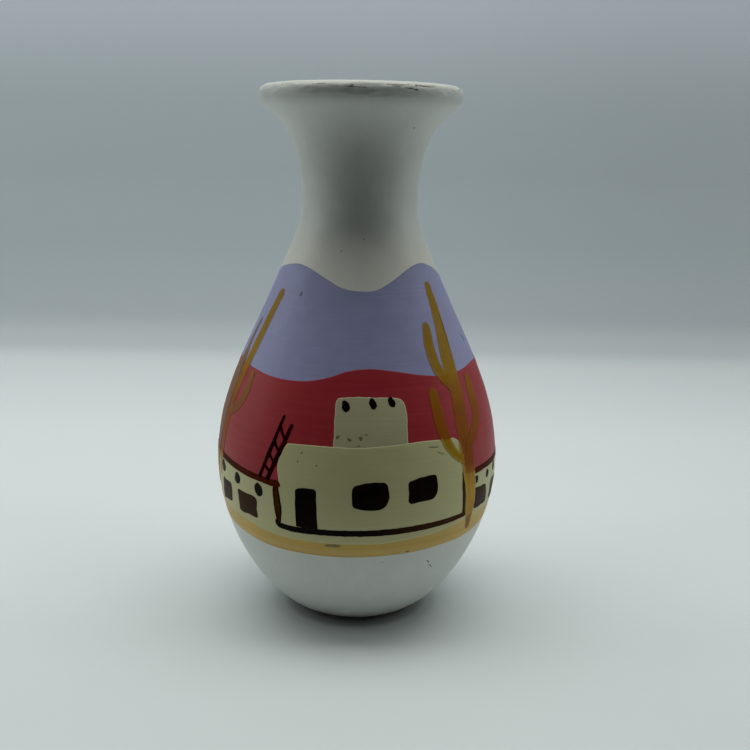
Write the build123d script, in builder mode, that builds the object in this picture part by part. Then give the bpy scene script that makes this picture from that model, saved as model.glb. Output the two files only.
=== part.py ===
"""Hand-painted pottery vase: one hollow fired-clay vessel, and each coat of paint brushed on it.

Millimetres. The origin is the middle of the foot's underside, +Z runs up the axis, and the painted
house faces -Y. Angles round the vase are in degrees from the front, positive towards +X.
"""

import os
from math import cos, radians, sin

from build123d import *

os.makedirs("parts", exist_ok=True)

# Vessel. These are the radii and heights of the white-coated outside.
HEIGHT = 180.0
FOOT_R = 21.4
FOOT_ROUND = 0.8
BELLY_R = 49.2
BELLY_Z = 53.0
SHOULDER_R = 26.0
SHOULDER_Z = 122.0
NECK_R = 19.75
NECK_Z = 142.0
FLARE_R = 33.0
FLARE_Z = 174.6
LIP_R = 33.85
LIP_ROUND = 2.7
WALL = 4.5
FLOOR_R = 12.0
FLOOR_Z = 6.8

# Handles that shape the outer wall's curves, from the foot up: offsets from the rings above, and
# the heights the handles sit at.
FOOT_OUT = 14.7
FOOT_OUT_Z = 8.4
BELLY_DOWN = 19.6
BELLY_UP = 24.8
SHOULDER_OUT = 12.2
SHOULDER_OUT_Z = 93.0
SHOULDER_IN = 4.0
SHOULDER_IN_Z = 131.5
NECK_DOWN = 7.0
NECK_UP_Z = 169.2
FLARE_IN = 3.0
FLARE_IN_Z = 169.7
FLARE_OUT = 0.5
FLARE_OUT_Z = 175.4
LIP_DOWN_Z = 176.3

# The inner wall's own rings and handles, from the mouth down; the shoulder's are in wall widths.
MOUTH_DOWN_Z = 173.0
THROAT_UP_Z = 172.0
THROAT_UP = 4.0
THROAT_DOWN = 3.0
THROAT_DOWN_Z = 133.5
INNER_SHOULDER_IN = 0.92
INNER_SHOULDER_DROP = 0.4
INNER_SHOULDER_UP_Z = 130.0
INNER_SHOULDER_OUT = 12.0
INNER_SHOULDER_OUT_Z = 91.5
INNER_BELLY_UP = 22.0
INNER_BELLY_DOWN = 19.0
FLOOR_EDGE_R = 33.0

# Paint. Each coat is one film thick; a layer is how far out its two faces lie from the white's.
FILM = 0.2
GROUND = (-FILM, 0.0)
SCENE = (0.0, FILM)
DETAIL = (FILM, 2 * FILM)
GROUND_INSIDE = 24.0
REACH = 70.0
STAMP_START = 12.0
BAND_START = 36.0

# Landscape. Each dip in an upper edge is (angle, half width, depth).
SKY_TOP = 123.6
SKY_DIPS = ((4.0, 18.0, 7.7), (100.0, 17.0, 6.8), (182.0, 17.5, 7.4), (262.0, 17.0, 6.4))
SKY_LOWEST = 84.0
MESA_TOP = 92.8
MESA_DIPS = ((-33.0, 21.0, 4.4), (46.0, 21.0, 3.6), (128.0, 20.0, 4.0), (-128.0, 21.0, 3.6))
MESA_LOWEST = 54.0
EDGE_RISE = 0.4
CUT_TOP = 4.0
STRIPE_TOP = 37.9
STRIPE_WIDTH = 4.4
STRIPE_TILT = 1.0
STRIPE_EDGE = Plane.XY.offset(STRIPE_TOP).rotated((0, -STRIPE_TILT, 0))
STRIPE_SWING = 8.0

# Village: a front house with a tower, and a low wall round the rest with beam ends and windows.
WALL_TOP = 57.6
LINE = 1.8
HOUSE_ANGLE = 9.0
HOUSE_HALF = 31.0
HOUSE_TOP = 70.3
HOUSE_TOP_HALF = 29.0
HOUSE_CORNER = 3.5
SILL_Z = 42.5
COLUMN_TOP = 57.0
TOWER_ANGLE = 6.2
TOWER_WIDTH = 22.8
TOWER_TOP = 84.4
TOWER_CORNER = 2.0
DOOR_ANGLE = -18.1
DOOR_WIDTH = 7.4
DOOR_TOP = 56.3
DOOR_CORNER = 1.8
FRONT_WINDOWS = ((6.3, 54.6, 12.2, 8.9), (26.7, 55.8, 10.6, 8.4))
WINDOW_CORNER = 2.4
SIDE_WINDOW_WIDTH = 9.4
SIDE_WINDOW_HEIGHT = 7.0
SIDE_WINDOW_Z = 47.0
SIDE_WINDOW_ANGLES = [59.5 + 15.6 * i for i in range(16)]
BEAM_WIDTH = 2.6
BEAM_HEIGHT = 4.0
BEAM_LEAN = -18.0
WALL_BEAM_Z = 54.1
WALL_BEAM_ANGLES = [56.3 + 11.9 * i for i in range(23)]
TOWER_BEAMS = ((-4.0, 81.6), (7.2, 82.0), (15.4, 81.8))

# Ladder, drawn on one upright plane: the foot and the top of each rail.
LADDER_ANGLE = -32.0
LADDER_LEFT = ((-5.0, 59.4), (1.8, 77.5))
LADDER_RIGHT = ((-1.6, 59.4), (5.1, 75.0))
RAIL_WIDTH = 1.2
RUNG_COUNT = 4
RUNG_START = 0.19
RUNG_SPACING = 0.2
RUNG_SLOPE = 0.06

# Saguaros: the angle of the upright plane each is drawn on, its trunk, then its arms.
TRUNK_WIDTH = 4.4
ARM_WIDTH = 3.6
SAGUARO_TOP = 120.0
SAGUARO_FOOT = 38.5
SAGUARO_RIGHT = (
    50.0,
    ((1.6, 116.0), (0.6, 97.0), (-1.4, 77.0), (0.3, 56.0), (2.0, 42.0)),
    ((-5.4, 104.0), (-6.9, 95.5), (-4.6, 88.5), (-0.7, 85.5)),
    ((-11.2, 84.0), (-11.2, 75.0), (-8.2, 66.5), (-1.2, 62.5)),
    ((8.6, 85.5), (8.3, 76.0), (4.6, 70.0), (-0.6, 66.5)),
)
SAGUARO_LEFT = (
    -62.0,
    ((2.1, 111.0), (1.8, 100.8), (-1.6, 85.0), (-2.9, 69.0), (-4.6, 52.0)),
    ((-4.9, 102.0), (-6.9, 95.0), (-6.2, 87.0), (-2.2, 82.5)),
    ((4.6, 87.0), (4.9, 80.0), (1.8, 74.0), (-2.7, 71.5)),
)
SAGUARO_BACK = (
    176.0,
    ((-1.4, 114.0), (-0.4, 98.0), (1.2, 76.0), (0.4, 60.0)),
    ((6.6, 103.0), (7.4, 94.0), (5.2, 87.5), (0.5, 84.5)),
    ((-8.8, 92.0), (-9.2, 82.0), (-6.6, 75.0), (1.2, 71.5)),
)


def facing(angle, start=STAMP_START):
    """Upright plane that looks outward at this angle, start mm from the axis; its own y is +Z."""
    turn = radians(angle)
    outward = (sin(turn), -cos(turn), 0)
    origin = (start * sin(turn), -start * cos(turn), 0)
    return Plane(origin=origin, x_dir=(cos(turn), sin(turn), 0), z_dir=outward)


def outer_wall(shift):
    """Draws the outside from the foot to the lip's widest point, shift mm further out."""
    foot = (FOOT_R + FOOT_ROUND + shift, FOOT_ROUND)
    belly = (BELLY_R + shift, BELLY_Z)
    shoulder = (SHOULDER_R + shift, SHOULDER_Z)
    neck = (NECK_R + shift, NECK_Z)
    flare = (FLARE_R + shift, FLARE_Z)
    lip = (LIP_R + shift, HEIGHT - LIP_ROUND)
    Bezier(foot, (foot[0] + FOOT_OUT, FOOT_OUT_Z), (belly[0], BELLY_Z - BELLY_DOWN), belly)
    above_belly = (belly[0], BELLY_Z + BELLY_UP)
    Bezier(belly, above_belly, (shoulder[0] + SHOULDER_OUT, SHOULDER_OUT_Z), shoulder)
    under_neck = (neck[0], NECK_Z - NECK_DOWN)
    Bezier(shoulder, (shoulder[0] - SHOULDER_IN, SHOULDER_IN_Z), under_neck, neck)
    Bezier(neck, (neck[0], NECK_UP_Z), (flare[0] - FLARE_IN, FLARE_IN_Z), flare)
    Bezier(flare, (flare[0] + FLARE_OUT, FLARE_OUT_Z), (lip[0], LIP_DOWN_Z), lip)


def inner_wall(shift):
    """Draws the inside from the lip down to the floor's edge, shift mm nearer the axis."""
    lip = (LIP_R - 2 * LIP_ROUND - shift, HEIGHT - LIP_ROUND)
    neck_r = NECK_R - WALL - shift
    neck_top = (neck_r, NECK_Z + THROAT_UP)
    neck_bottom = (neck_r, NECK_Z - THROAT_DOWN)
    shoulder_r = SHOULDER_R - INNER_SHOULDER_IN * WALL - shift
    shoulder = (shoulder_r, SHOULDER_Z - INNER_SHOULDER_DROP * WALL)
    belly = (BELLY_R - WALL - shift, BELLY_Z)
    floor = (FLOOR_R - shift, FLOOR_Z)
    Bezier(lip, (lip[0], MOUTH_DOWN_Z), (neck_r, THROAT_UP_Z), neck_top)
    Line(neck_top, neck_bottom)
    over_shoulder = (shoulder_r - SHOULDER_IN, INNER_SHOULDER_UP_Z)
    Bezier(neck_bottom, (neck_r, THROAT_DOWN_Z), over_shoulder, shoulder)
    under_shoulder = (shoulder_r + INNER_SHOULDER_OUT, INNER_SHOULDER_OUT_Z)
    Bezier(shoulder, under_shoulder, (belly[0], BELLY_Z + INNER_BELLY_UP), belly)
    Bezier(belly, (belly[0], BELLY_Z - INNER_BELLY_DOWN), (FLOOR_EDGE_R - shift, FLOOR_Z), floor)


def vessel_outline(shift):
    """Draws the closed half section of the vessel, every painted face shift mm further out."""
    foot = (FOOT_R + shift, 0)
    lip_z = HEIGHT - LIP_ROUND
    Line((0, 0), foot)
    RadiusArc(foot, (FOOT_R + FOOT_ROUND + shift, FOOT_ROUND), -FOOT_ROUND)
    outer_wall(shift)
    ThreePointArc(
        (LIP_R + shift, lip_z),
        (LIP_R - LIP_ROUND, HEIGHT + shift),
        (LIP_R - 2 * LIP_ROUND - shift, lip_z),
    )
    inner_wall(shift)
    Polyline((FLOOR_R - shift, FLOOR_Z), (0, FLOOR_Z), (0, 0))


def film(layer, bottom, top):
    """A coat all the way round the outer wall, between two heights."""
    with BuildPart() as coat:
        with BuildSketch(Plane.XZ):
            for shift, mode in ((layer[1], Mode.ADD), (layer[0], Mode.SUBTRACT)):
                with BuildLine():
                    outer_wall(shift)
                    Polyline(
                        (LIP_R + shift, HEIGHT - LIP_ROUND),
                        (0, HEIGHT - LIP_ROUND),
                        (0, FOOT_ROUND),
                        (FOOT_R + FOOT_ROUND + shift, FOOT_ROUND),
                    )
                make_face(mode=mode)
            with Locations((REACH / 2, (bottom + top) / 2)):
                Rectangle(REACH, top - bottom, mode=Mode.INTERSECT)
        revolve(axis=Axis.Z)
    return coat.part


def dips(edge_z, places):
    """Thick solids that cut smooth dips down into a coat's upper edge."""
    with BuildPart() as cutters:
        for angle, half_width, depth in places:
            left = (-half_width, edge_z + EDGE_RISE)
            right = (half_width, edge_z + EDGE_RISE)
            with BuildSketch(facing(angle)):
                with BuildLine():
                    Spline(left, (0, edge_z - depth), right, tangents=((1, 0), (1, 0)))
                    Polyline(right, (half_width, edge_z + CUT_TOP), (-half_width, edge_z + CUT_TOP), left)
                make_face()
            extrude(amount=REACH)
    return cutters.part


def brushed(angle, strokes):
    """Thick solids of brush strokes with round ends; each stroke is (width, its points)."""
    with BuildPart() as solids:
        for width, points in strokes:
            with BuildSketch(facing(angle)):
                with BuildLine():
                    Spline(*points)
                trace(line_width=width)
                with Locations(points[0], points[-1]):
                    Circle(width / 2)
            extrude(amount=REACH)
    return solids.part


def saguaro_solid(saguaro):
    """Thick solid of one saguaro: its trunk and its narrower arms."""
    angle, trunk, *arms = saguaro
    strokes = [(TRUNK_WIDTH, trunk)]
    strokes += [(ARM_WIDTH, arm) for arm in arms]
    return brushed(angle, strokes)


def save(coat, name):
    """Names a finished piece and writes it out."""
    coat.part.label = name
    export_step(coat.part, f"parts/{name}.step")


# The fired clay vessel: foot, belly, neck and trumpet mouth, open at the top.
with BuildPart() as clay_body:
    with BuildSketch(Plane.XZ):
        with BuildLine():
            vessel_outline(-FILM)
        make_face()
    revolve(axis=Axis.Z)
save(clay_body, "clay_body")

# White ground coat: all the outside bar the foot's edge, over the lip and some way down the neck.
with BuildPart() as ground_coat:
    add(film(GROUND, FOOT_ROUND, HEIGHT - GROUND_INSIDE))
    with BuildSketch(Plane.XZ):
        with BuildLine():
            vessel_outline(0.0)
        make_face()
        with BuildLine():
            vessel_outline(-FILM)
        make_face(mode=Mode.SUBTRACT)
        with Locations((0, HEIGHT - GROUND_INSIDE)):
            Rectangle(REACH, GROUND_INSIDE, align=(Align.MIN, Align.MIN), mode=Mode.INTERSECT)
    revolve(axis=Axis.Z)
save(ground_coat, "ground_coat")

# Where the cream paint goes: the low wall all round, the front house and its tower.
with BuildPart() as village:
    with BuildSketch():
        Circle(REACH)
    extrude(amount=WALL_TOP)
    with BuildSketch(facing(HOUSE_ANGLE)) as house:
        with BuildLine():
            Polyline(
                (-HOUSE_HALF, SILL_Z),
                (-HOUSE_HALF, WALL_TOP),
                (-HOUSE_TOP_HALF, HOUSE_TOP),
                (HOUSE_TOP_HALF, HOUSE_TOP),
                (HOUSE_HALF, WALL_TOP),
                (HOUSE_HALF, SILL_Z),
                close=True,
            )
        make_face()
        fillet(house.vertices().group_by(Axis.Y)[-1], radius=HOUSE_CORNER)
    extrude(amount=REACH)
    with BuildSketch(facing(TOWER_ANGLE)) as tower:
        with Locations((0, (WALL_TOP + TOWER_TOP) / 2)):
            Rectangle(TOWER_WIDTH, TOWER_TOP - WALL_TOP)
        fillet(tower.vertices().group_by(Axis.Y)[-1], radius=TOWER_CORNER)
    extrude(amount=REACH)

# The ochre stripe's slab, tilted the way the banding brush ran.
with BuildPart() as stripe:
    with BuildSketch(STRIPE_EDGE):
        Circle(REACH)
    extrude(amount=-STRIPE_WIDTH)

# Thick solids of the three saguaros, kept to cut away the detail they are painted across.
right_solid = saguaro_solid(SAGUARO_RIGHT)
left_solid = saguaro_solid(SAGUARO_LEFT)
back_solid = saguaro_solid(SAGUARO_BACK)

# Ochre banding stripe under the village.
with BuildPart() as ochre_stripe:
    add(film(SCENE, STRIPE_TOP - STRIPE_SWING, STRIPE_TOP + STRIPE_SWING))
    add(stripe.part, mode=Mode.INTERSECT)
save(ochre_stripe, "ochre_stripe")

# Cream adobe of the wall, the house and the tower, down to the stripe's upper edge.
with BuildPart() as adobe_coat:
    add(film(SCENE, STRIPE_TOP - STRIPE_SWING, TOWER_TOP + CUT_TOP))
    add(village.part, mode=Mode.INTERSECT)
    with BuildSketch(STRIPE_EDGE):
        Circle(REACH)
    extrude(amount=-STRIPE_SWING * 2, mode=Mode.SUBTRACT)
save(adobe_coat, "adobe_coat")

# Rose mesa behind the village; its skyline dips between the hills.
mesa_cutters = dips(MESA_TOP, MESA_DIPS)
with BuildPart() as mesa_coat:
    add(film(SCENE, MESA_LOWEST, MESA_TOP))
    add(mesa_cutters, mode=Mode.SUBTRACT)
    add(village.part, mode=Mode.SUBTRACT)
save(mesa_coat, "mesa_coat")

# Lavender sky from the mesa's skyline up to a scalloped edge under the neck.
with BuildPart() as hills:
    with BuildSketch():
        Circle(REACH)
    extrude(amount=MESA_TOP)
    add(mesa_cutters, mode=Mode.SUBTRACT)
with BuildPart() as sky_coat:
    add(film(SCENE, SKY_LOWEST, SKY_TOP))
    add(dips(SKY_TOP, SKY_DIPS), mode=Mode.SUBTRACT)
    add(hills.part, mode=Mode.SUBTRACT)
save(sky_coat, "sky_coat")

# Brown outline of the front house: its sill, left column and right corner.
with BuildPart() as house_outline:
    with BuildSketch(facing(HOUSE_ANGLE)):
        with Locations((0, SILL_Z)):
            SlotOverall(2 * HOUSE_HALF, LINE)
        with Locations((-HOUSE_HALF + LINE / 2, (SILL_Z + COLUMN_TOP) / 2)):
            SlotOverall(COLUMN_TOP - SILL_Z + LINE, LINE, rotation=90)
        with Locations((HOUSE_HALF - LINE / 2, (SILL_Z + COLUMN_TOP) / 2)):
            Rectangle(LINE / 2, COLUMN_TOP - SILL_Z)
    extrude(amount=REACH)
    add(film(DETAIL, STRIPE_TOP, HOUSE_TOP), mode=Mode.INTERSECT)
    add(right_solid, mode=Mode.SUBTRACT)
save(house_outline, "house_outline")

# Dark roof edge of the low wall; the front house interrupts it.
with BuildPart() as roof_line:
    add(film(DETAIL, WALL_TOP, WALL_TOP + LINE))
    with BuildSketch(facing(HOUSE_ANGLE)):
        with Locations((0, WALL_TOP)):
            Rectangle(2 * HOUSE_HALF, HOUSE_CORNER * 2)
    extrude(amount=REACH, mode=Mode.SUBTRACT)
    add(right_solid, mode=Mode.SUBTRACT)
    add(left_solid, mode=Mode.SUBTRACT)
    add(back_solid, mode=Mode.SUBTRACT)
save(roof_line, "roof_line")

# Door of the front house, standing on the sill line.
with BuildPart() as front_door:
    with BuildSketch(facing(DOOR_ANGLE)) as door:
        with Locations((0, SILL_Z + LINE / 2)):
            Rectangle(DOOR_WIDTH, DOOR_TOP - SILL_Z - LINE / 2, align=(Align.CENTER, Align.MIN))
        fillet(door.vertices().group_by(Axis.Y)[-1], radius=DOOR_CORNER)
    extrude(amount=REACH)
    add(film(DETAIL, STRIPE_TOP, HOUSE_TOP), mode=Mode.INTERSECT)
save(front_door, "front_door")

# The two dark windows of the front house.
with BuildPart() as front_windows:
    for angle, middle, width, height in FRONT_WINDOWS:
        with BuildSketch(facing(angle)):
            with Locations((0, middle)):
                RectangleRounded(width, height, WINDOW_CORNER)
        extrude(amount=REACH)
    add(film(DETAIL, STRIPE_TOP, HOUSE_TOP), mode=Mode.INTERSECT)
save(front_windows, "front_windows")

# Smaller, paler windows of the low wall.
with BuildPart() as wall_windows:
    for angle in SIDE_WINDOW_ANGLES:
        with BuildSketch(facing(angle, BAND_START)):
            with Locations((0, SIDE_WINDOW_Z)):
                RectangleRounded(SIDE_WINDOW_WIDTH, SIDE_WINDOW_HEIGHT, WINDOW_CORNER)
        extrude(amount=REACH)
    add(film(DETAIL, STRIPE_TOP, WALL_TOP), mode=Mode.INTERSECT)
    add(right_solid, mode=Mode.SUBTRACT)
    add(left_solid, mode=Mode.SUBTRACT)
save(wall_windows, "wall_windows")

# Ends of the roof beams showing in the low wall.
with BuildPart() as wall_beams:
    for angle in WALL_BEAM_ANGLES:
        with BuildSketch(facing(angle, BAND_START)):
            with Locations((0, WALL_BEAM_Z)):
                Ellipse(BEAM_WIDTH / 2, BEAM_HEIGHT / 2, rotation=BEAM_LEAN)
        extrude(amount=REACH)
    add(film(DETAIL, STRIPE_TOP, WALL_TOP), mode=Mode.INTERSECT)
    add(right_solid, mode=Mode.SUBTRACT)
    add(left_solid, mode=Mode.SUBTRACT)
save(wall_beams, "wall_beams")

# Ends of the roof beams showing in the tower.
with BuildPart() as tower_beams:
    with BuildSketch(Plane.XZ.offset(STAMP_START)):
        with Locations(*TOWER_BEAMS):
            Ellipse(BEAM_WIDTH / 2, BEAM_HEIGHT / 2, rotation=BEAM_LEAN)
    extrude(amount=REACH)
    add(film(DETAIL, HOUSE_TOP, TOWER_TOP), mode=Mode.INTERSECT)
save(tower_beams, "tower_beams")

# Ladder from the low wall's roof up towards the tower.
with BuildPart() as ladder:
    with BuildSketch(facing(LADDER_ANGLE)):
        with BuildLine():
            left_rail = Line(*LADDER_LEFT)
            right_rail = Line(*LADDER_RIGHT)
        trace(line_width=RAIL_WIDTH)
        for i in range(RUNG_COUNT):
            up = RUNG_START + i * RUNG_SPACING
            with BuildLine():
                Line(left_rail @ up, right_rail @ (up - RUNG_SLOPE))
            trace(line_width=RAIL_WIDTH)
    extrude(amount=REACH)
    add(film(DETAIL, WALL_TOP + LINE, SKY_LOWEST), mode=Mode.INTERSECT)
save(ladder, "ladder")

# The saguaros: one tall one each side of the house, one behind.
for solid, side in ((right_solid, "right"), (left_solid, "left"), (back_solid, "back")):
    with BuildPart() as saguaro:
        add(film(DETAIL, SAGUARO_FOOT, SAGUARO_TOP))
        add(solid, mode=Mode.INTERSECT)
    save(saguaro, f"saguaro_{side}")
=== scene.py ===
"""Looks of the hand-painted pottery vase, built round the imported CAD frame.

The vessel and its white coat are turned meshes. Every painted feature is a thin closed film laid on
the vessel: its outline is drawn as (angle, height) points, angles in degrees from the front and
positive towards +X, heights in mm. Lengths are mm until a point is placed, in metres.
"""

import math
import random

import bmesh
import bpy
import numpy as np
from mathutils import Matrix, Vector, geometry, kdtree, noise


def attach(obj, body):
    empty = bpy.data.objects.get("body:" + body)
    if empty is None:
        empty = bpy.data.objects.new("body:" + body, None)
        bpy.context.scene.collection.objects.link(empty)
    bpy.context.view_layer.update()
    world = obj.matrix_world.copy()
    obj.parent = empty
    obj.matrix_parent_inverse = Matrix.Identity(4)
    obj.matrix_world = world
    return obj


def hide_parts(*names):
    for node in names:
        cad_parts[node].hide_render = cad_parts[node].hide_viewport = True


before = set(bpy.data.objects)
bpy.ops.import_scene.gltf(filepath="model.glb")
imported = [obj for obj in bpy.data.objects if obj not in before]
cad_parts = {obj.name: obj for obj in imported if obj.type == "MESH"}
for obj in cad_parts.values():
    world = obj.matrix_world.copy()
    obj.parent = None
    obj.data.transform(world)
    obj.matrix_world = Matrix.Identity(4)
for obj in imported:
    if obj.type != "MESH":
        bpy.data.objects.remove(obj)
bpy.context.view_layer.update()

MM = 0.001
random.seed(7)

# ---------------------------------------------------------------- vessel profile, (radius, height)
OUTSIDE = (
    ((22.2, 0.8), (36.9, 8.4), (49.2, 33.4), (49.2, 53.0)),
    ((49.2, 53.0), (49.2, 77.8), (38.2, 93.0), (26.0, 122.0)),
    ((26.0, 122.0), (22.0, 131.5), (19.75, 135.0), (19.75, 142.0)),
    ((19.75, 142.0), (19.75, 169.2), (30.0, 169.7), (33.0, 174.6)),
    ((33.0, 174.6), (33.5, 175.4), (33.85, 176.3), (33.85, 177.3)),
)
INSIDE = (
    ((28.45, 177.3), (28.45, 173.0), (15.25, 172.0), (15.25, 146.0)),
    ((15.25, 146.0), (15.25, 143.5), (15.25, 141.5), (15.25, 139.0)),
    ((15.25, 139.0), (15.25, 133.5), (17.86, 130.0), (21.86, 120.2)),
    ((21.86, 120.2), (33.86, 91.5), (44.7, 75.0), (44.7, 53.0)),
    ((44.7, 53.0), (44.7, 34.0), (33.0, 6.8), (12.0, 6.8)),
)
LIP_CENTRE = (31.15, 177.3)
LIP_R = 2.7
FILM = 0.2
COAT = 0.18
COAT_DOWN_TO = 156.0
# Everything turned or laid on the wall is set this far inside the CAD's profile.
INSET = 0.1
# The lip's lumps fade in over FADE mm above LUMPS_FROM, and lift only what is above LIP_TOP.
LUMPS_FROM = 173.0
FADE = 3.0
LIP_TOP = 178.5
HIGHEST = 179.97
# Films: depths of the rows of points along an edge, and how many points are measured at a time.
RINGS = (0.12, 0.3, 0.65)
BATCH = 400


def curve_points(curves, count):
    """Points along a chain of cubic Bezier curves, without repeats."""
    rows = []
    for a, b, c, d in curves:
        t = np.linspace(0, 1, count)[:, None]
        a, b, c, d = (np.array(p) for p in (a, b, c, d))
        rows.append((1 - t) ** 3 * a + 3 * t * (1 - t) ** 2 * b + 3 * t * t * (1 - t) * c + t**3 * d)
    return np.vstack([rows[0]] + [r[1:] for r in rows[1:]])


def lip_arc(r, count, first=0.0, last=math.pi):
    a = np.linspace(first, last, count)
    return np.stack([LIP_CENTRE[0] + r * np.cos(a), LIP_CENTRE[1] + r * np.sin(a)], -1)


OUT = curve_points(OUTSIDE, 60)
INN = curve_points(INSIDE, 40)
WALL = np.vstack([curve_points(OUTSIDE, 400), lip_arc(LIP_R, 60, 0.02, 1.45)])
SLOPE = np.gradient(WALL[:, 0]) / np.maximum(np.gradient(WALL[:, 1]), 1e-6)


def radius(z):
    return np.interp(z, WALL[:, 1], WALL[:, 0])


def wobble(theta, z):
    """How far the hand-turned wall strays from a true turning, in mm."""
    t = np.radians(theta)
    slow = 0.05 * np.sin(3 * t + 0.05 * z) + 0.03 * np.sin(7 * t - 0.11 * z + 1.0)
    return slow + 0.02 * np.sin(11 * t + 0.6 * z)


def place(theta, z, out):
    """World points (metres) at an angle and height, out mm proud of the white coat."""
    theta, z, out = np.broadcast_arrays(np.asarray(theta, float), z, out)
    slope = np.interp(z, WALL[:, 1], SLOPE)
    length = np.hypot(1, slope)
    r = radius(z) + wobble(theta, z) - INSET + out / length
    h = z - out * slope / length
    t = np.radians(theta)
    return np.stack([r * np.sin(t), -r * np.cos(t), h], -1) * MM


# ---------------------------------------------------------------- meshes
def new_mesh(name, verts, faces, attributes=None):
    mesh = bpy.data.meshes.new(name)
    mesh.from_pydata([tuple(v) for v in verts], [], [tuple(int(i) for i in f) for f in faces])
    mesh.update()
    mesh.polygons.foreach_set("use_smooth", [True] * len(mesh.polygons))
    for key, values in (attributes or {}).items():
        mesh.attributes.new(key, "FLOAT", "POINT").data.foreach_set("value", np.asarray(values, np.float32))
    obj = bpy.data.objects.new(name, mesh)
    bpy.context.scene.collection.objects.link(obj)
    return obj


def turned(name, section, segments, lip_rough=0.0):
    """A closed section of (radius, height) points turned round the axis; radius 0 ends are poles."""
    section = np.array(section)
    verts, rings = [], []
    for r, z in section:
        if r < 1e-6:
            rings.append([len(verts)])
            verts.append((0, 0, z * MM))
            continue
        ring = []
        for i in range(segments):
            a = 360.0 * i / segments
            t = math.radians(a)
            away = r + float(wobble(a, z)) * (r > 5) - INSET * (r > 5)
            up = z
            if lip_rough and z > LUMPS_FROM:
                lump = noise.noise(Vector((9 * math.sin(t), 9 * math.cos(t), z * 0.9)))
                lump += 0.5 * noise.noise(Vector((30 * math.sin(t), 30 * math.cos(t), z * 1.7)))
                fade = min(1.0, (z - LUMPS_FROM) / FADE)
                away += lip_rough * lump * fade
                up += 0.4 * lip_rough * lump * fade * (z > LIP_TOP)
            ring.append(len(verts))
            verts.append((away * math.sin(t) * MM, -away * math.cos(t) * MM, min(up, HIGHEST) * MM))
        rings.append(ring)
    faces = []
    pairs = list(zip(rings, rings[1:]))
    if len(rings[0]) > 1:
        pairs.append((rings[-1], rings[0]))
    for low, high in pairs:
        for i in range(segments):
            j = (i + 1) % segments
            if len(low) == 1 and len(high) == 1:
                break
            if len(low) == 1:
                faces.append((low[0], high[j], high[i]))
            elif len(high) == 1:
                faces.append((low[i], low[j], high[0]))
            else:
                faces.append((low[i], low[j], high[j], high[i]))
    return new_mesh(name, verts, faces)


def shifted(points, out):
    return points + np.array([out, 0.0])


# ---------------------------------------------------------------- outlines
def knot_line(knots, step=1.0):
    """A smooth closed line round the vase through (angle, height) knots: (angles, heights)."""
    knots = sorted(knots)
    a = np.array([k[0] for k in knots])
    z = np.array([k[1] for k in knots])
    a = np.concatenate([a[-2:] - 360, a, a[:2] + 360])
    z = np.concatenate([z[-2:], z, z[:2]])
    m = np.gradient(z, a)
    at = np.arange(-180, 180 + step / 2, step)
    i = np.clip(np.searchsorted(a, at, "right") - 1, 0, len(a) - 2)
    h = a[i + 1] - a[i]
    t = (at - a[i]) / h
    value = (2 * t**3 - 3 * t**2 + 1) * z[i] + (t**3 - 2 * t**2 + t) * h * m[i]
    value += (3 * t**2 - 2 * t**3) * z[i + 1] + (t**3 - t**2) * h * m[i + 1]
    return at, value


def smooth_path(points, step=0.4):
    """A smooth open line through (angle, height) points, about step mm apart."""
    p = np.array(points, float)
    p = np.vstack([2 * p[0] - p[1], p, 2 * p[-1] - p[-2]])
    rows = []
    for k in range(1, len(p) - 2):
        flat = (p[k + 1] - p[k]) * (math.radians(1) * radius(p[k][1]), 1)
        n = max(2, int(np.hypot(*flat) / step))
        t = np.linspace(0, 1, n, endpoint=False)[:, None]
        a, b, c, d = p[k - 1], p[k], p[k + 1], p[k + 2]
        bend, twist = 2 * a - 5 * b + 4 * c - d, 3 * b - a - 3 * c + d
        rows.append(0.5 * (2 * b + (c - a) * t + bend * t**2 + twist * t**3))
    return np.vstack(rows + [p[-2:-1]])


def rounded(corners, step=0.4):
    """A closed outline of (angle, height, corner radius) corners, with soft corners."""
    out = []
    n = len(corners)
    for i in range(n):
        a, b, c = (np.array(corners[(i + k) % n][:2], float) for k in (-1, 0, 1))
        scale = np.array([math.radians(1) * radius(b[1]), 1])
        ra, rc = ((a - b) * scale, (c - b) * scale)
        cut = min(corners[i][2], 0.49 * np.hypot(*ra), 0.49 * np.hypot(*rc))
        s, e = b + (a - b) * cut / np.hypot(*ra), b + (c - b) * cut / np.hypot(*rc)
        t = np.linspace(0, 1, max(3, int(cut * 2.2 / step)))[:, None]
        out.append((1 - t) ** 2 * s + 2 * t * (1 - t) * b + t**2 * e)
    return resample(np.vstack(out), step)


def resample(loop, step):
    """A closed loop with its points about step mm apart."""
    loop = np.vstack([loop, loop[:1]])
    mid = 0.5 * (loop[1:, 1] + loop[:-1, 1])
    d = np.hypot(np.diff(loop[:, 0]) * np.radians(1) * radius(mid), np.diff(loop[:, 1]))
    keep = np.concatenate([[True], d > 1e-6])
    loop, s = loop[keep], np.concatenate([[0], np.cumsum(d[d > 1e-6])])
    at = np.linspace(0, s[-1], max(8, int(s[-1] / step)), endpoint=False)
    return np.stack([np.interp(at, s, loop[:, 0]), np.interp(at, s, loop[:, 1])], -1)


def shaky(loop, amount, seed, length=2.6):
    """The loop with its edge wandering by up to amount mm, as a hand-held brush leaves it."""
    r = radius(loop[:, 1]) * np.radians(1)
    moved = loop.copy()
    for i, (a, z) in enumerate(loop):
        p = Vector((a * r[i] / length, z / length, seed * 3.7))
        moved[i, 0] += amount * noise.noise(p) / r[i]
        moved[i, 1] += amount * noise.noise(p + Vector((9.1, 4.3, 2.2)))
    return moved


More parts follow.
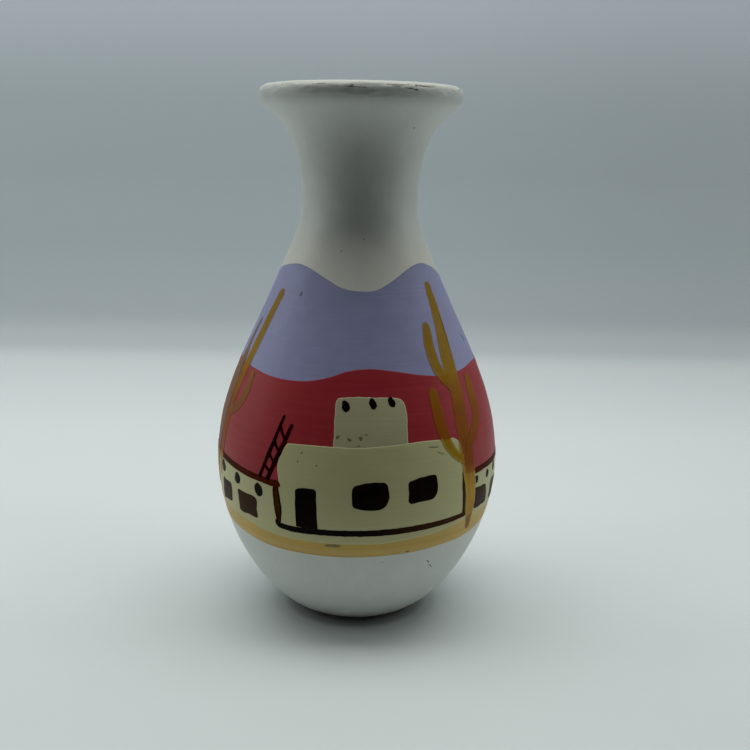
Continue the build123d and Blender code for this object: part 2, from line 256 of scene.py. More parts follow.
def stroke_loop(points, widths, step=0.4, blunt=1.0):
    """The outline of one brush stroke: a smooth path with a width at each of its points."""
    path = smooth_path(points, step)
    r = radius(path[:, 1]) * np.radians(1)
    flat = np.stack([np.gradient(path[:, 0]) * r, np.gradient(path[:, 1])], -1)
    flat /= np.maximum(np.hypot(flat[:, 0], flat[:, 1]), 1e-9)[:, None]
    half = 0.5 * np.interp(np.linspace(0, 1, len(path)), np.linspace(0, 1, len(widths)), widths)
    side = np.stack([-flat[:, 1] / r, flat[:, 0]], -1) * half[:, None]
    caps = []
    for k, turn in ((-1, 1), (0, -1)):
        a = np.linspace(0, np.pi, 9)[1:-1]
        out = np.stack([flat[k][0] / r[k] * turn, flat[k][1] * turn], -1)
        left = side[k] * turn
        caps.append(path[k] + np.cos(a)[:, None] * left + np.sin(a)[:, None] * out * half[k] * blunt)
    return resample(np.vstack([path + side, caps[0], (path - side)[::-1], caps[1]]), step)


# ---------------------------------------------------------------- films of paint
def distance(points, loop, closed_edges):
    """Distance of each flat point from the loop's edges, in mm."""
    a, b = loop[closed_edges], np.roll(loop, -1, 0)[closed_edges]
    d = b - a
    dd = np.maximum((d**2).sum(1), 1e-12)
    best = np.full(len(points), 1e9)
    for k in range(0, len(points), BATCH):
        p = points[k : k + BATCH, None]
        t = np.clip(((p - a) * d).sum(2) / dd, 0, 1)
        best[k : k + BATCH] = np.sqrt(((p - a - t[..., None] * d) ** 2).sum(2)).min(1)
    return best


def inside(points, loop):
    """Which flat points lie inside the loop."""
    a, b = loop, np.roll(loop, -1, 0)
    result = np.zeros(len(points), bool)
    for k in range(0, len(points), BATCH):
        p = points[k : k + BATCH, None]
        cross = (a[:, 1] > p[..., 1]) != (b[:, 1] > p[..., 1])
        with np.errstate(divide="ignore", invalid="ignore"):
            x = a[:, 0] + (p[..., 1] - a[:, 1]) / (b[:, 1] - a[:, 1]) * (b[:, 0] - a[:, 0])
        result[k : k + BATCH] = (cross & (p[..., 0] < x)).sum(1) % 2 == 1
    return result


# Every film laid so far: (outline, its points, their heights, tier).
LAYERS = []
# The tiers: which coat a film is, as the saguaros' colour needs to know.
PLAIN, SKY, MESA, ADOBE, CACTUS = range(5)
WHOLE_TURNS = (-360, 0, 360)
# A degree round the vase in mm, near enough to find the nearest point.
PER_DEGREE = 0.75
# Past this angle a point of a whole film lies on the seam behind the vase.
SEAM = 179.99
# How thick the films are, from the sky and the village down to the chips in the lip.
FULL, BRUSHED, THIN, SCUFFED, CHIPPED = 0.05, 0.04, 0.035, 0.012, 0.010
# A film starts CLEAR mm above what it lies on, and its underside is BURIED mm inside the white coat.
CLEAR = 0.015
BURIED = 0.04


def under(real, reach):
    """How high paint already stands under each (angle, height) point, within reach mm of it."""
    stand = np.zeros(len(real))
    r = radius(real[:, 1]) * np.radians(1)
    eighths = [(math.cos(k * math.pi / 4), math.sin(k * math.pi / 4)) for k in range(8)]
    for loop, nearest, tops, _ in LAYERS:
        low, high = loop.min(0) - (6, 2), loop.max(0) + (6, 2)
        for turn in WHOLE_TURNS:
            round_here = real + (turn, 0)
            near = np.nonzero(((round_here > low) & (round_here < high)).all(1))[0]
            if not len(near):
                continue
            for dx, dy in [(0, 0), *eighths]:
                step = np.stack([dx * reach / r[near], np.full(len(near), dy * reach)], -1)
                moved = round_here[near] + step
                hit = inside(moved, loop)
                for i, (angle, z) in zip(near[hit], moved[hit]):
                    found = nearest.find((angle * PER_DEGREE, z, 0))[1]
                    stand[i] = max(stand[i], tops[found])
    return stand


def ground_under(real):
    """The tier of the coat under each point, and 1 where a saguaro's stroke is already there."""
    kind, stroke = np.zeros(len(real)), np.zeros(len(real))
    for loop, _, _, tier in LAYERS:
        if tier == PLAIN:
            continue
        for turn in WHOLE_TURNS:
            over = inside(real + (turn, 0), loop)
            if tier == CACTUS:
                stroke = np.where(over, 1.0, stroke)
            else:
                kind = np.where(over, np.maximum(kind, tier), kind)
    return kind, stroke


def film(name, loop, thick, spacing=1.3, bead=0.25, whole=False, tier=PLAIN, faint=0.0):
    """A closed film of paint over the outline, thick mm above what it lies on, with a brushed bead.

    A whole film runs from -180 to 180 degrees and its two ends are merged into one ring.
    """
    loop = np.asarray(loop, float)
    ref = float(radius(loop[:, 1].mean()))
    scale = np.array([math.radians(1) * ref, 1.0])
    flat = loop * scale
    area = 0.5 * np.sum(flat[:, 0] * np.roll(flat[:, 1], -1) - np.roll(flat[:, 0], -1) * flat[:, 1])
    if area < 0:
        loop, flat = loop[::-1], flat[::-1]
    after = np.roll(loop, -1, 0)
    on_seam = (np.abs(loop[:, 0]) > SEAM) & whole
    edge = ~(on_seam & (np.abs(after[:, 0]) > SEAM) & (loop[:, 0] * after[:, 0] > 0))
    tangent = np.roll(flat, -1, 0) - np.roll(flat, 1, 0)
    tangent /= np.maximum(np.hypot(tangent[:, 0], tangent[:, 1]), 1e-9)[:, None]
    inward = np.stack([-tangent[:, 1], tangent[:, 0]], -1)
    clouds = [flat]
    for depth in RINGS:
        ring = (flat + inward * depth)[~on_seam]
        ring = ring[inside(ring, flat)]
        if len(ring):
            clouds.append(ring[distance(ring, flat, edge) > 0.86 * depth])
    low, high = flat.min(0), flat.max(0)
    rows = []
    for j, y in enumerate(np.arange(low[1], high[1], spacing * 0.866)):
        x = np.arange(low[0] + (j % 2) * spacing / 2, high[0], spacing)
        rows.append(np.stack([x, np.full(len(x), y)], -1))
    grid = np.vstack(rows)
    if whole:
        grid = grid[np.abs(grid[:, 0]) < 180 * scale[0] - 0.5 * spacing]
    grid = grid[inside(grid, flat)]
    if len(grid):
        clouds.append(grid[distance(grid, flat, edge) > RINGS[-1] + 0.45 * spacing])
    cloud = np.vstack(clouds)
    rim = [list(range(len(flat)))]
    got = geometry.delaunay_2d_cdt([Vector(p) for p in cloud], [], rim, 1, 1e-5, False)
    points = np.array([tuple(v) for v in got[0]])
    tris = np.array([tuple(f) for f in got[2]])
    # The triangulation leaves some triangles outside a hollow outline; they are dropped here.
    tris = tris[inside(points[tris].mean(1), flat)].tolist()
    deep = distance(points, flat, edge)
    real = points / scale
    base = under(real, 0.8 * spacing) + CLEAR
    rise = 0.3 + 0.7 * (1 - np.exp(-deep / 0.14)) + bead * np.exp(-(((deep - 0.34) / 0.2) ** 2))
    top = place(real[:, 0], real[:, 1], base + thick * rise)
    bottom = place(real[:, 0], real[:, 1], -BURIED)
    count = len(points)
    faces = tris + [[i + count for i in reversed(f)] for f in tris]
    sides = {(f[i], f[(i + 1) % 3]) for f in tris for i in range(3)}
    for a, b in sorted(sides):
        if (b, a) not in sides:
            both = whole and abs(real[a, 0]) > SEAM and abs(real[b, 0]) > SEAM
            if not (both and real[a, 0] * real[b, 0] > 0):
                faces.append((b, a, a + count, b + count))
    keys = {"edge": np.tile(deep, 2)}
    if tier == CACTUS:
        kind, stroke = ground_under(real)
        keys |= {"ground": np.tile(kind, 2), "stroke": np.tile(stroke, 2)}
        keys["faint"] = np.full(2 * count, faint)
    obj = new_mesh(name, np.vstack([top, bottom]), faces, keys)
    nearest = kdtree.KDTree(count)
    for i, (a, z) in enumerate(real):
        nearest.insert((a * PER_DEGREE, z, 0), i)
    nearest.balance()
    LAYERS.append((loop, nearest, base + (1 + bead) * thick, tier))
    if whole:
        merge_seam(obj)
    return obj


def merge_seam(obj):
    """Welds the two ends of a whole film behind the vase."""
    bm = bmesh.new()
    bm.from_mesh(obj.data)
    near = [v for v in bm.verts if abs(v.co.x) < 2e-6 and v.co.y > 0]
    bmesh.ops.remove_doubles(bm, verts=near, dist=1e-6)
    bm.to_mesh(obj.data)
    bm.free()


# ---------------------------------------------------------------- materials
def material(name):
    mat = bpy.data.materials.new(name)
    mat.use_nodes = True
    tree = mat.node_tree
    tree.nodes.clear()
    out = tree.nodes.new("ShaderNodeOutputMaterial")
    shader = tree.nodes.new("ShaderNodeBsdfPrincipled")
    tree.links.new(shader.outputs[0], out.inputs[0])
    return mat, tree, shader


def node(tree, kind, settings=None, **inputs):
    """Adds a node; inputs are numbers, colours, or sockets to link from."""
    made = tree.nodes.new(kind)
    for key, value in (settings or {}).items():
        setattr(made, key, value)
    for key, value in inputs.items():
        sockets = [s for s in made.inputs if s.name.replace(" ", "_") == key and s.enabled]
        if isinstance(value, bpy.types.NodeSocket):
            tree.links.new(value, sockets[0])
        else:
            sockets[0].default_value = value
    return made


def rgb(c):
    return (c[0], c[1], c[2], 1.0)


def stretched(tree, stretch):
    """Object coordinates in mm, each axis divided by its stretch."""
    coords = node(tree, "ShaderNodeTexCoord").outputs["Object"]
    return node(tree, "ShaderNodeMapping", Vector=coords, Scale=[1000.0 / s for s in stretch]).outputs[0]


def noise_at(tree, stretch, detail=4.0, rough=0.55, seed=0.0):
    where = stretched(tree, stretch)
    n = node(tree, "ShaderNodeTexNoise", {"noise_dimensions": "4D"}, Vector=where, W=seed)
    n.inputs["Scale"].default_value = 1.0
    n.inputs["Detail"].default_value = detail
    n.inputs["Roughness"].default_value = rough
    return n.outputs["Fac"]


def remap(tree, value, low, high, to_low=0.0, to_high=1.0):
    n = node(tree, "ShaderNodeMapRange", Value=value)
    for key, v in (("From Min", low), ("From Max", high), ("To Min", to_low), ("To Max", to_high)):
        n.inputs[key].default_value = v
    return n.outputs[0]


def mix(tree, factor, a, b, mode="MIX"):
    n = tree.nodes.new("ShaderNodeMix")
    n.data_type, n.blend_type = "RGBA", mode
    for key, value in ((0, factor), (6, a), (7, b)):
        if isinstance(value, bpy.types.NodeSocket):
            tree.links.new(value, n.inputs[key])
        else:
            n.inputs[key].default_value = value if key == 0 else rgb(value)
    return n.outputs[2]


def ramp(tree, value, stops, smooth=True):
    n = tree.nodes.new("ShaderNodeValToRGB")
    n.color_ramp.interpolation = "EASE" if smooth else "LINEAR"
    while len(n.color_ramp.elements) < len(stops):
        n.color_ramp.elements.new(0.5)
    for e, (at, colour) in zip(n.color_ramp.elements, stops):
        e.position, e.color = at, rgb(colour)
    tree.links.new(value, n.inputs[0])
    return n.outputs[0]


def attribute(tree, name):
    return node(tree, "ShaderNodeAttribute", {"attribute_name": name}).outputs["Fac"]


def z_mm(tree, low, high):
    """0 at height low mm, 1 at height high mm."""
    coords = node(tree, "ShaderNodeTexCoord").outputs["Object"]
    z = node(tree, "ShaderNodeSeparateXYZ", Vector=coords).outputs["Z"]
    return remap(tree, z, low * MM, high * MM)


ACROSS = (26.0, 26.0, 0.55)
UPRIGHT = (1.1, 1.1, 14.0)
GRAIN = (0.28, 0.28, 0.28)
BLOTCH = (11.0, 11.0, 11.0)


def finish(tree, shader, colour, streak, roughness, bump, streak_mix, specular, seed):
    """Brush streaks, blotches and grain in colour, roughness and relief, over a base colour."""
    lines = noise_at(tree, streak, 5.0, 0.6, seed)
    fine = noise_at(tree, GRAIN, 2.0, 0.5, seed + 3)
    blot = noise_at(tree, BLOTCH, 3.0, 0.5, seed + 6)
    streaks = remap(tree, lines, 0.3, 0.72, 1 - streak_mix, 1 + streak_mix)
    blotches = remap(tree, blot, 0.3, 0.7, 1 - 0.6 * streak_mix, 1 + 0.6 * streak_mix)
    both = node(tree, "ShaderNodeMath", {"operation": "MULTIPLY"})
    tree.links.new(streaks, both.inputs[0])
    tree.links.new(blotches, both.inputs[1])
    level = both.outputs[0]
    grey = node(tree, "ShaderNodeCombineColor", Red=level, Green=level, Blue=level)
    tinted = mix(tree, 1.0, colour, grey.outputs[0], "MULTIPLY")
    tree.links.new(tinted, shader.inputs["Base Color"])
    rough = remap(tree, lines, 0.25, 0.75, roughness - 0.07, roughness + 0.09)
    tree.links.new(rough, shader.inputs["Roughness"])
    shader.inputs["Specular IOR Level"].default_value = specular
    total = node(tree, "ShaderNodeMath", {"operation": "MULTIPLY_ADD"})
    tree.links.new(fine, total.inputs[0])
    total.inputs[1].default_value = 0.35
    tree.links.new(lines, total.inputs[2])
    relief = node(tree, "ShaderNodeBump", Height=total.outputs[0])
    relief.inputs["Strength"].default_value = 0.6
    relief.inputs["Distance"].default_value = bump * MM * 4
    tree.links.new(relief.outputs[0], shader.inputs["Normal"])


def paint(name, seed, colour, streak, roughness, edge, edge_mm, streak_mix, specular):
    """A coat of craft paint: a colour, another within edge_mm of its edge, and brush streaks."""
    mat, tree, shader = material(name)
    base = colour(tree) if callable(colour) else mix(tree, 0.0, colour, colour)
    if edge is not None:
        near = remap(tree, attribute(tree, "edge"), 0.0, edge_mm, 1.0, 0.0)
        base = mix(tree, near, base, edge)
    bump = BUMPS.get(name, PAINT_BUMP)
    finish(tree, shader, base, streak, roughness, bump, streak_mix, specular, seed)
    return mat


def keep(obj, paint_name, slot, *nodes):
    """Gives a piece its material and its body, and hides the CAD nodes it stands for."""
    obj.data.materials.append(MATERIALS[paint_name])
    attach(obj, "root")
    if nodes:
        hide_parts(*nodes)
    return obj


# ---------------------------------------------------------------- colours, linear
WHITE = (0.63, 0.65, 0.61)
WARM_WHITE = (0.70, 0.70, 0.61)
# Painted shade: the white a touch greyer on the neck and on the lip's outer face, where shade falls.
NECK_PAINTED_SHADE = (0.62, 0.64, 0.59)
LIP_PAINTED_SHADE = (0.60, 0.62, 0.585)
CLAY = (0.45, 0.25, 0.15)
LAVENDER = (0.30, 0.305, 0.49)
ROSE = (0.36, 0.031, 0.036)
CREAM = (0.525, 0.495, 0.25)
TOWER_CREAM = (0.44, 0.415, 0.25)
DARK = (0.003, 0.0015, 0.001)
MAROON = (0.030, 0.0006, 0.0006)
UMBER = (0.075, 0.021, 0.0003)
BROWN = (0.040, 0.013, 0.003)
ROOF_BROWN = (0.070, 0.009, 0.001)
SCUFF = (0.20, 0.17, 0.08)
CHIP = (0.16, 0.16, 0.11)
SCRATCH = (0.05, 0.047, 0.04)
TAN = (0.58, 0.50, 0.40)


def white_colour(tree):
    """White, creamier above the shoulder and on top of the lip, a touch greyer on neck and lip as painted
    shade.
    """
    up = z_mm(tree, 0.0, 180.0)
    stops = (
        (0.0, WHITE),
        (0.55, WHITE),
        (0.68, WARM_WHITE),
        (0.77, NECK_PAINTED_SHADE),
        (0.88, NECK_PAINTED_SHADE),
        (0.94, WHITE),
        (0.964, WHITE),
        (0.973, LIP_PAINTED_SHADE),
        (0.988, LIP_PAINTED_SHADE),
        (1.0, WARM_WHITE),
    )
    base = ramp(tree, up, stops)
    patches = remap(tree, noise_at(tree, (7.0, 7.0, 9.0), 3.0, 0.5, 11.0), 0.45, 0.75)
    return mix(tree, patches, base, (0.67, 0.68, 0.62))


def rose_colour(tree):
    sweep = remap(tree, noise_at(tree, (20.0, 20.0, 2.0), 4.0, 0.6, 21.0), 0.35, 0.7)
    return mix(tree, sweep, ROSE, (0.32, 0.022, 0.032))


def lavender_colour(tree):
    patches = remap(tree, noise_at(tree, (6.0, 6.0, 6.0), 4.0, 0.6, 31.0), 0.4, 0.7)
    return mix(tree, patches, LAVENDER, (0.275, 0.275, 0.455))


# The golden paint over each coat, at shares of the way up from 36 to 120 mm; how it changes up the
# vase is partly the paint's own and partly painted light and shade.
GOLD_ON_SKY = ((0.0, (0.28, 0.150, 0.003)), (0.66, (0.30, 0.165, 0.003)), (1.0, (0.28, 0.158, 0.002)))
GOLD_ON_ROSE = (
    (0.24, (0.36, 0.16, 0.008)),
    (0.30, (0.25, 0.062, 0.0006)),
    (0.48, (0.27, 0.075, 0.0006)),
    (0.58, (0.30, 0.115, 0.001)),
    (0.64, (0.30, 0.145, 0.002)),
)
GOLD_ON_WALL = (
    (0.02, (0.38, 0.21, 0.035)),
    (0.18, (0.52, 0.29, 0.030)),
    (0.27, (0.40, 0.20, 0.008)),
    (0.34, (0.33, 0.18, 0.001)),
)
FAINT_GOLD = (0.20, 0.12, 0.09)


def cactus_colour(tree):
    """Thin golden paint: what is under it shows at its rim and between its bristle marks."""
    up = z_mm(tree, 36.0, 120.0)
    on_sky = ramp(tree, up, GOLD_ON_SKY)
    on_rose = ramp(tree, up, GOLD_ON_ROSE)
    on_wall = ramp(tree, up, GOLD_ON_WALL)
    ground = attribute(tree, "ground")
    rose = remap(tree, ground, SKY + 0.1, MESA - 0.1)
    wall = remap(tree, ground, MESA + 0.1, ADOBE - 0.1)
    golden = mix(tree, wall, mix(tree, rose, on_sky, on_rose), on_wall)
    golden = mix(tree, attribute(tree, "faint"), golden, FAINT_GOLD)
    below = mix(tree, wall, mix(tree, rose, (0.27, 0.25, 0.30), ROSE), CREAM)
    below = mix(tree, attribute(tree, "stroke"), below, golden)
    thin = remap(tree, noise_at(tree, (2.6, 2.6, 9.0), 4.0, 0.6, 41.0), 0.46, 0.85, 0.0, 0.18)
    rim = remap(tree, attribute(tree, "edge"), 0.0, 1.0, 0.4, 0.0)
    bare = node(tree, "ShaderNodeMath", {"operation": "MAXIMUM"})
    tree.links.new(thin, bare.inputs[0])
    tree.links.new(rim, bare.inputs[1])
    return mix(tree, bare.outputs[0], golden, below)


def dark_colour(tree):
    """Near black with a trace of maroon where the paint is thin."""
    thin = remap(tree, noise_at(tree, (5.0, 5.0, 5.0), 3.0, 0.5, 51.0), 0.45, 0.8)
    return mix(tree, thin, DARK, (0.014, 0.003, 0.002))


def maroon_colour(tree):
    """Maroon with near black patches where the brush was loaded."""
    patches = remap(tree, noise_at(tree, (3.0, 3.0, 4.0), 3.0, 0.5, 61.0), 0.42, 0.62)
    return mix(tree, patches, MAROON, (0.006, 0.002, 0.0005))


def line_colour(tree):
    """Brushed line that runs from near black on the left to umber on the right."""
    coords = node(tree, "ShaderNodeTexCoord").outputs["Object"]
    x = node(tree, "ShaderNodeSeparateXYZ", Vector=coords).outputs["X"]
    stops = ((0.0, (0.004, 0.002, 0.001)), (0.45, (0.006, 0.003, 0.001)), (1.0, (0.06, 0.018, 0.004)))
    return ramp(tree, remap(tree, x, -0.03, 0.04), stops)


def stripe_colour(tree):
    """Ochre in faint bands up the stripe."""
    stops = (
        (0.0, (0.54, 0.33, 0.08)),
        (0.16, (0.62, 0.43, 0.13)),
        (0.45, (0.58, 0.38, 0.09)),
        (0.75, (0.56, 0.41, 0.12)),
        (1.0, (0.62, 0.44, 0.17)),
    )
    return ramp(tree, z_mm(tree, 33.0, 42.0), stops)


# Each paint: colour, direction of its streaks, roughness, colour at its edge and how wide that is
# in mm, strength of its streaks, specular level.
EDGE = 0.45
PAINT_BUMP = 0.02
BUMPS = {"white_paint": 0.006, "fired_clay": 0.03}
PAINTS = {
    "white_paint": (white_colour, UPRIGHT, 0.40, None, EDGE, 0.02, 0.35),
    "fired_clay": (CLAY, ACROSS, 0.85, None, EDGE, 0.10, 0.3),
    # The lavender's darker edge is partly its own outline and partly painted shade along its rim.
    "lavender_paint": (lavender_colour, ACROSS, 0.45, (0.215, 0.21, 0.33), EDGE, 0.035, 0.25),
    "rose_paint": (rose_colour, ACROSS, 0.42, (0.30, 0.025, 0.03), EDGE, 0.05, 0.16),
    "cream_paint": (CREAM, ACROSS, 0.42, (0.60, 0.58, 0.36), 0.25, 0.04, 0.3),
    "tower_paint": (TOWER_CREAM, ACROSS, 0.42, (0.60, 0.58, 0.38), 0.3, 0.06, 0.3),
    "ochre_paint": (stripe_colour, ACROSS, 0.42, (0.50, 0.30, 0.08), 0.4, 0.08, 0.2),
    "dark_paint": (dark_colour, ACROSS, 0.45, (0.008, 0.003, 0.001), 0.5, 0.15, 0.02),
    "maroon_paint": (maroon_colour, ACROSS, 0.5, (0.02, 0.001, 0.001), 0.3, 0.2, 0.01),
    "umber_paint": (UMBER, UPRIGHT, 0.5, (0.004, 0.0012, 0.0003), 1.1, 0.2, 0.01),
    "beam_paint": (DARK, UPRIGHT, 0.45, (0.012, 0.007, 0.003), 0.3, 0.2, 0.05),
    "brown_paint": (BROWN, UPRIGHT, 0.45, (0.022, 0.007, 0.002), 0.4, 0.2, 0.05),
    "roof_paint": (ROOF_BROWN, ACROSS, 0.45, (0.035, 0.005, 0.0008), 0.4, 0.2, 0.02),
    "golden_paint": (cactus_colour, UPRIGHT, 0.45, None, EDGE, 0.10, 0.06),
    "line_paint": (line_colour, ACROSS, 0.45, None, EDGE, 0.2, 0.03),
    "scuff_paint": (SCUFF, ACROSS, 0.5, None, EDGE, 0.3, 0.2),
    "chip_paint": (CHIP, ACROSS, 0.6, None, EDGE, 0.3, 0.2),
    "scratch_paint": (SCRATCH, ACROSS, 0.6, None, EDGE, 0.3, 0.1),
    "tan_paint": (TAN, ACROSS, 0.6, None, EDGE, 0.3, 0.2),
}
MATERIALS = {name: paint(name, i + 1.0, *look) for i, (name, look) in enumerate(PAINTS.items())}

# ---------------------------------------------------------------- camera, stage and light
# The camera's place, how far it looks down and how far it is rolled, in degrees.
LENS = 47.04
CAMERA_AT = (0.0060, -0.33667, 0.15868)
LOOKS_DOWN = 12.764
ROLL = 0.9

scene = bpy.context.scene
camera_data = bpy.data.cameras.new("camera")
camera_data.lens = LENS
camera_data.sensor_width = 36.0
camera_data.clip_start = 0.01
camera = bpy.data.objects.new("camera", camera_data)
scene.collection.objects.link(camera)
camera.matrix_world = (
    Matrix.Translation(CAMERA_AT)
    @ Matrix.Rotation(math.radians(90 - LOOKS_DOWN), 4, "X")
    @ Matrix.Rotation(math.radians(ROLL), 4, "Z")
)
scene.camera = camera
scene.view_settings.view_transform = "Standard"
scene.view_settings.look = "None"

# Stage, in metres: half its width, where the floor starts to curve up, how tightly, and the wall.
HALF = 1.6
CURVE_FROM = 0.38
CURVE_R = 0.14
WALL_Y = 0.52
WALL_TOP = 1.2
ROOM_FRONT = -1.5
ROOM_TOP = 1.6


def sweep_stage():
    """Pale table that curves up into a plain wall well behind the vase."""
    path = [(-HALF, 0.0), (-0.6, 0.0), (0.15, 0.0), (CURVE_FROM, 0.0)]
    for a in np.radians(np.linspace(0, 90, 16)[1:]):
        path.append((CURVE_FROM + CURVE_R * math.sin(a), CURVE_R - CURVE_R * math.cos(a)))
    path.append((WALL_Y, WALL_TOP))
    verts, faces = [], []
    for y, z in path:
        verts += [(-HALF, y, z), (HALF, y, z)]
    for k in range(len(path) - 1):
        faces.append((2 * k, 2 * k + 1, 2 * k + 3, 2 * k + 2))
    return new_mesh("stage", verts, faces)


stage = sweep_stage()
mat, tree, shader = material("stage_paper")
rise = z_mm(tree, 0.0, 300.0)
# The paper's colour up the wall, darker up the curve and lighter again near the top as painted light and
# shade; painted shade that darkens it away from the camera, towards +X and round the foot, where part
# of the contact shadow is painted on.
PAPER_AND_PAINTED_LIGHT = (
    (0.0, (0.80, 0.84, 0.83)),
    (0.03, (0.60, 0.65, 0.66)),
    (0.10, (0.47, 0.52, 0.54)),
    (0.26, (0.46, 0.52, 0.54)),
    (0.45, (0.52, 0.58, 0.61)),
    (0.62, (0.52, 0.58, 0.61)),
    (1.0, (0.66, 0.71, 0.76)),
)
coords = node(tree, "ShaderNodeTexCoord").outputs["Object"]
where = node(tree, "ShaderNodeSeparateXYZ", Vector=coords)
# Painted shade along Y: the paper lightest near the vase and darkest far behind it.
PAINTED_SHADE_ALONG_Y = (
    (0.0, 0.89),
    (0.1, 0.94),
    (0.19, 0.965),
    (0.33, 0.93),
    (0.42, 0.945),
    (0.58, 0.95),
    (0.75, 0.91),
    (0.88, 0.88),
    (1.0, 0.835),
)
# Painted contact shadow round the foot.
ROUND_FOOT = ((0.0, 0.35), (0.04, 0.45), (0.093, 0.86), (0.143, 0.95), (0.32, 0.96), (1.0, 1.0))
# Painted shade, the paper darker towards +X.
PAINTED_SHADE_ACROSS_X = ((0.0, 1.0), (0.5, 0.99), (1.0, 0.90))


def greys(stops):
    return [(at, (v, v, v)) for at, v in stops]


far = ramp(tree, remap(tree, where.outputs["Y"], -0.1, 0.42), greys(PAINTED_SHADE_ALONG_Y))
across = ramp(tree, remap(tree, where.outputs["X"], -0.3, 0.3), greys(PAINTED_SHADE_ACROSS_X))
moved = node(tree, "ShaderNodeVectorMath", {"operation": "ADD"}, Vector=coords)
moved.inputs[1].default_value = (0.0, 0.003, 0.0)
away = node(tree, "ShaderNodeVectorMath", {"operation": "LENGTH"}, Vector=moved.outputs["Vector"])
contact = ramp(tree, remap(tree, away.outputs["Value"], 0.0195, 0.1), greys(ROUND_FOOT))
shade = mix(tree, 1.0, ramp(tree, rise, PAPER_AND_PAINTED_LIGHT), far, "MULTIPLY")
shade = mix(tree, 1.0, shade, contact, "MULTIPLY")
tree.links.new(mix(tree, 1.0, shade, across, "MULTIPLY"), shader.inputs["Base Color"])
shader.inputs["Roughness"].default_value = 0.75
stage.data.materials.append(mat)

# A dark card lies below the camera and stands behind it, so that the front of the vase gets less
# light. Cameras don't see it.
FLAG_HALF = 0.7
FLAG_NEAR = -0.17
FLAG_FAR = -0.62
FLAG_LOW = 0.002
FLAG_TOP = 1.2
corners = [(-FLAG_HALF, FLAG_NEAR, FLAG_LOW), (FLAG_HALF, FLAG_NEAR, FLAG_LOW)]
corners += [(FLAG_HALF, FLAG_FAR, FLAG_LOW), (-FLAG_HALF, FLAG_FAR, FLAG_LOW)]
corners += [(FLAG_HALF, FLAG_FAR, FLAG_TOP), (-FLAG_HALF, FLAG_FAR, FLAG_TOP)]
flag = new_mesh("dark_flag", corners, [(0, 3, 2, 1), (3, 5, 4, 2)])
mat, tree, shader = material("flag_black")
shader.inputs["Base Color"].default_value = (0.01, 0.01, 0.01, 1)
shader.inputs["Roughness"].default_value = 0.9
flag.data.materials.append(mat)
flag.visible_camera = False
flag.visible_shadow = False

# Pale walls at the sides and in front, which other views than the front one can see. They give the
# vase no light.
corners = [(-HALF, WALL_Y), (-HALF, ROOM_FRONT), (HALF, ROOM_FRONT), (HALF, WALL_Y)]
verts = [(x, y, z) for x, y in corners for z in (0.0, ROOM_TOP)]
room = new_mesh("stage_room", verts, [(2 * k, 2 * k + 1, 2 * k + 3, 2 * k + 2) for k in range(3)])
mat, tree, shader = material("room_paper")
pale = mix(tree, noise_at(tree, (400.0, 400.0, 400.0)), (0.50, 0.56, 0.58), (0.54, 0.60, 0.62))
tree.links.new(pale, shader.inputs["Base Color"])
tree.links.new(pale, shader.inputs["Emission Color"])
shader.inputs["Emission Strength"].default_value = 0.45
shader.inputs["Roughness"].default_value = 0.8
room.data.materials.append(mat)
room.visible_diffuse = False
room.visible_glossy = False
room.visible_shadow = False


def area_light(name, at, towards, size, power, colour):
    data = bpy.data.lights.new(name, "AREA")
    data.shape, data.size, data.size_y = "RECTANGLE", size[0], size[1]
    data.energy, data.color = power, colour
    lamp = bpy.data.objects.new(name, data)
    scene.collection.objects.link(lamp)
    lamp.location = at
    lamp.rotation_euler = (Vector(towards) - Vector(at)).to_track_quat("-Z", "Y").to_euler()
    return lamp


area_light("top_softbox", (0.0, 0.045, 0.95), (0, 0.02, 0), (1.2, 0.55), 7.5, (0.96, 1.0, 0.99))
area_light("left_softbox", (-0.85, 0.12, 0.35), (0, 0, 0.08), (0.6, 0.6), 1.6, (0.95, 1.0, 1.0))
area_light("right_softbox", (0.85, 0.12, 0.35), (0, 0, 0.08), (0.6, 0.6), 1.35, (0.95, 1.0, 1.0))

world = bpy.data.worlds.new("studio")
scene.world = world
world.use_nodes = True
world.node_tree.nodes["Background"].inputs[0].default_value = (0.80, 0.88, 0.90, 1.0)
world.node_tree.nodes["Background"].inputs[1].default_value = 0.03

# ---------------------------------------------------------------- vessel and white coat
SEGMENTS = 288
outer_clay = shifted(OUT, -FILM)
inner_clay = shifted(INN, FILM)
foot = [(0.0, 0.0), (8.0, 0.0), (16.0, 0.0), (19.9, 0.0), (20.7, 0.15), (21.5, 0.5)]
floor_in = [(6.0, 6.8), (0.0, 6.8)]
section = np.vstack([foot, outer_clay, lip_arc(LIP_R - FILM, 16)[1:-1], inner_clay, floor_in])
keep(turned("vessel_clay", section, SEGMENTS), "fired_clay", "fired_clay", "clay_body")

inside_coat = INN[INN[:, 1] > COAT_DOWN_TO]
coat_out = np.vstack([OUT, lip_arc(LIP_R, 24)[1:-1], inside_coat])
lip_back = lip_arc(LIP_R - COAT, 24)[1:-1]
coat_back = np.vstack([shifted(OUT, -COAT), lip_back, shifted(inside_coat, COAT)])
section = np.vstack([coat_out, coat_back[::-1]])
keep(turned("coat_white", section, SEGMENTS, 0.16), "white_paint", "white_paint", "ground_coat")

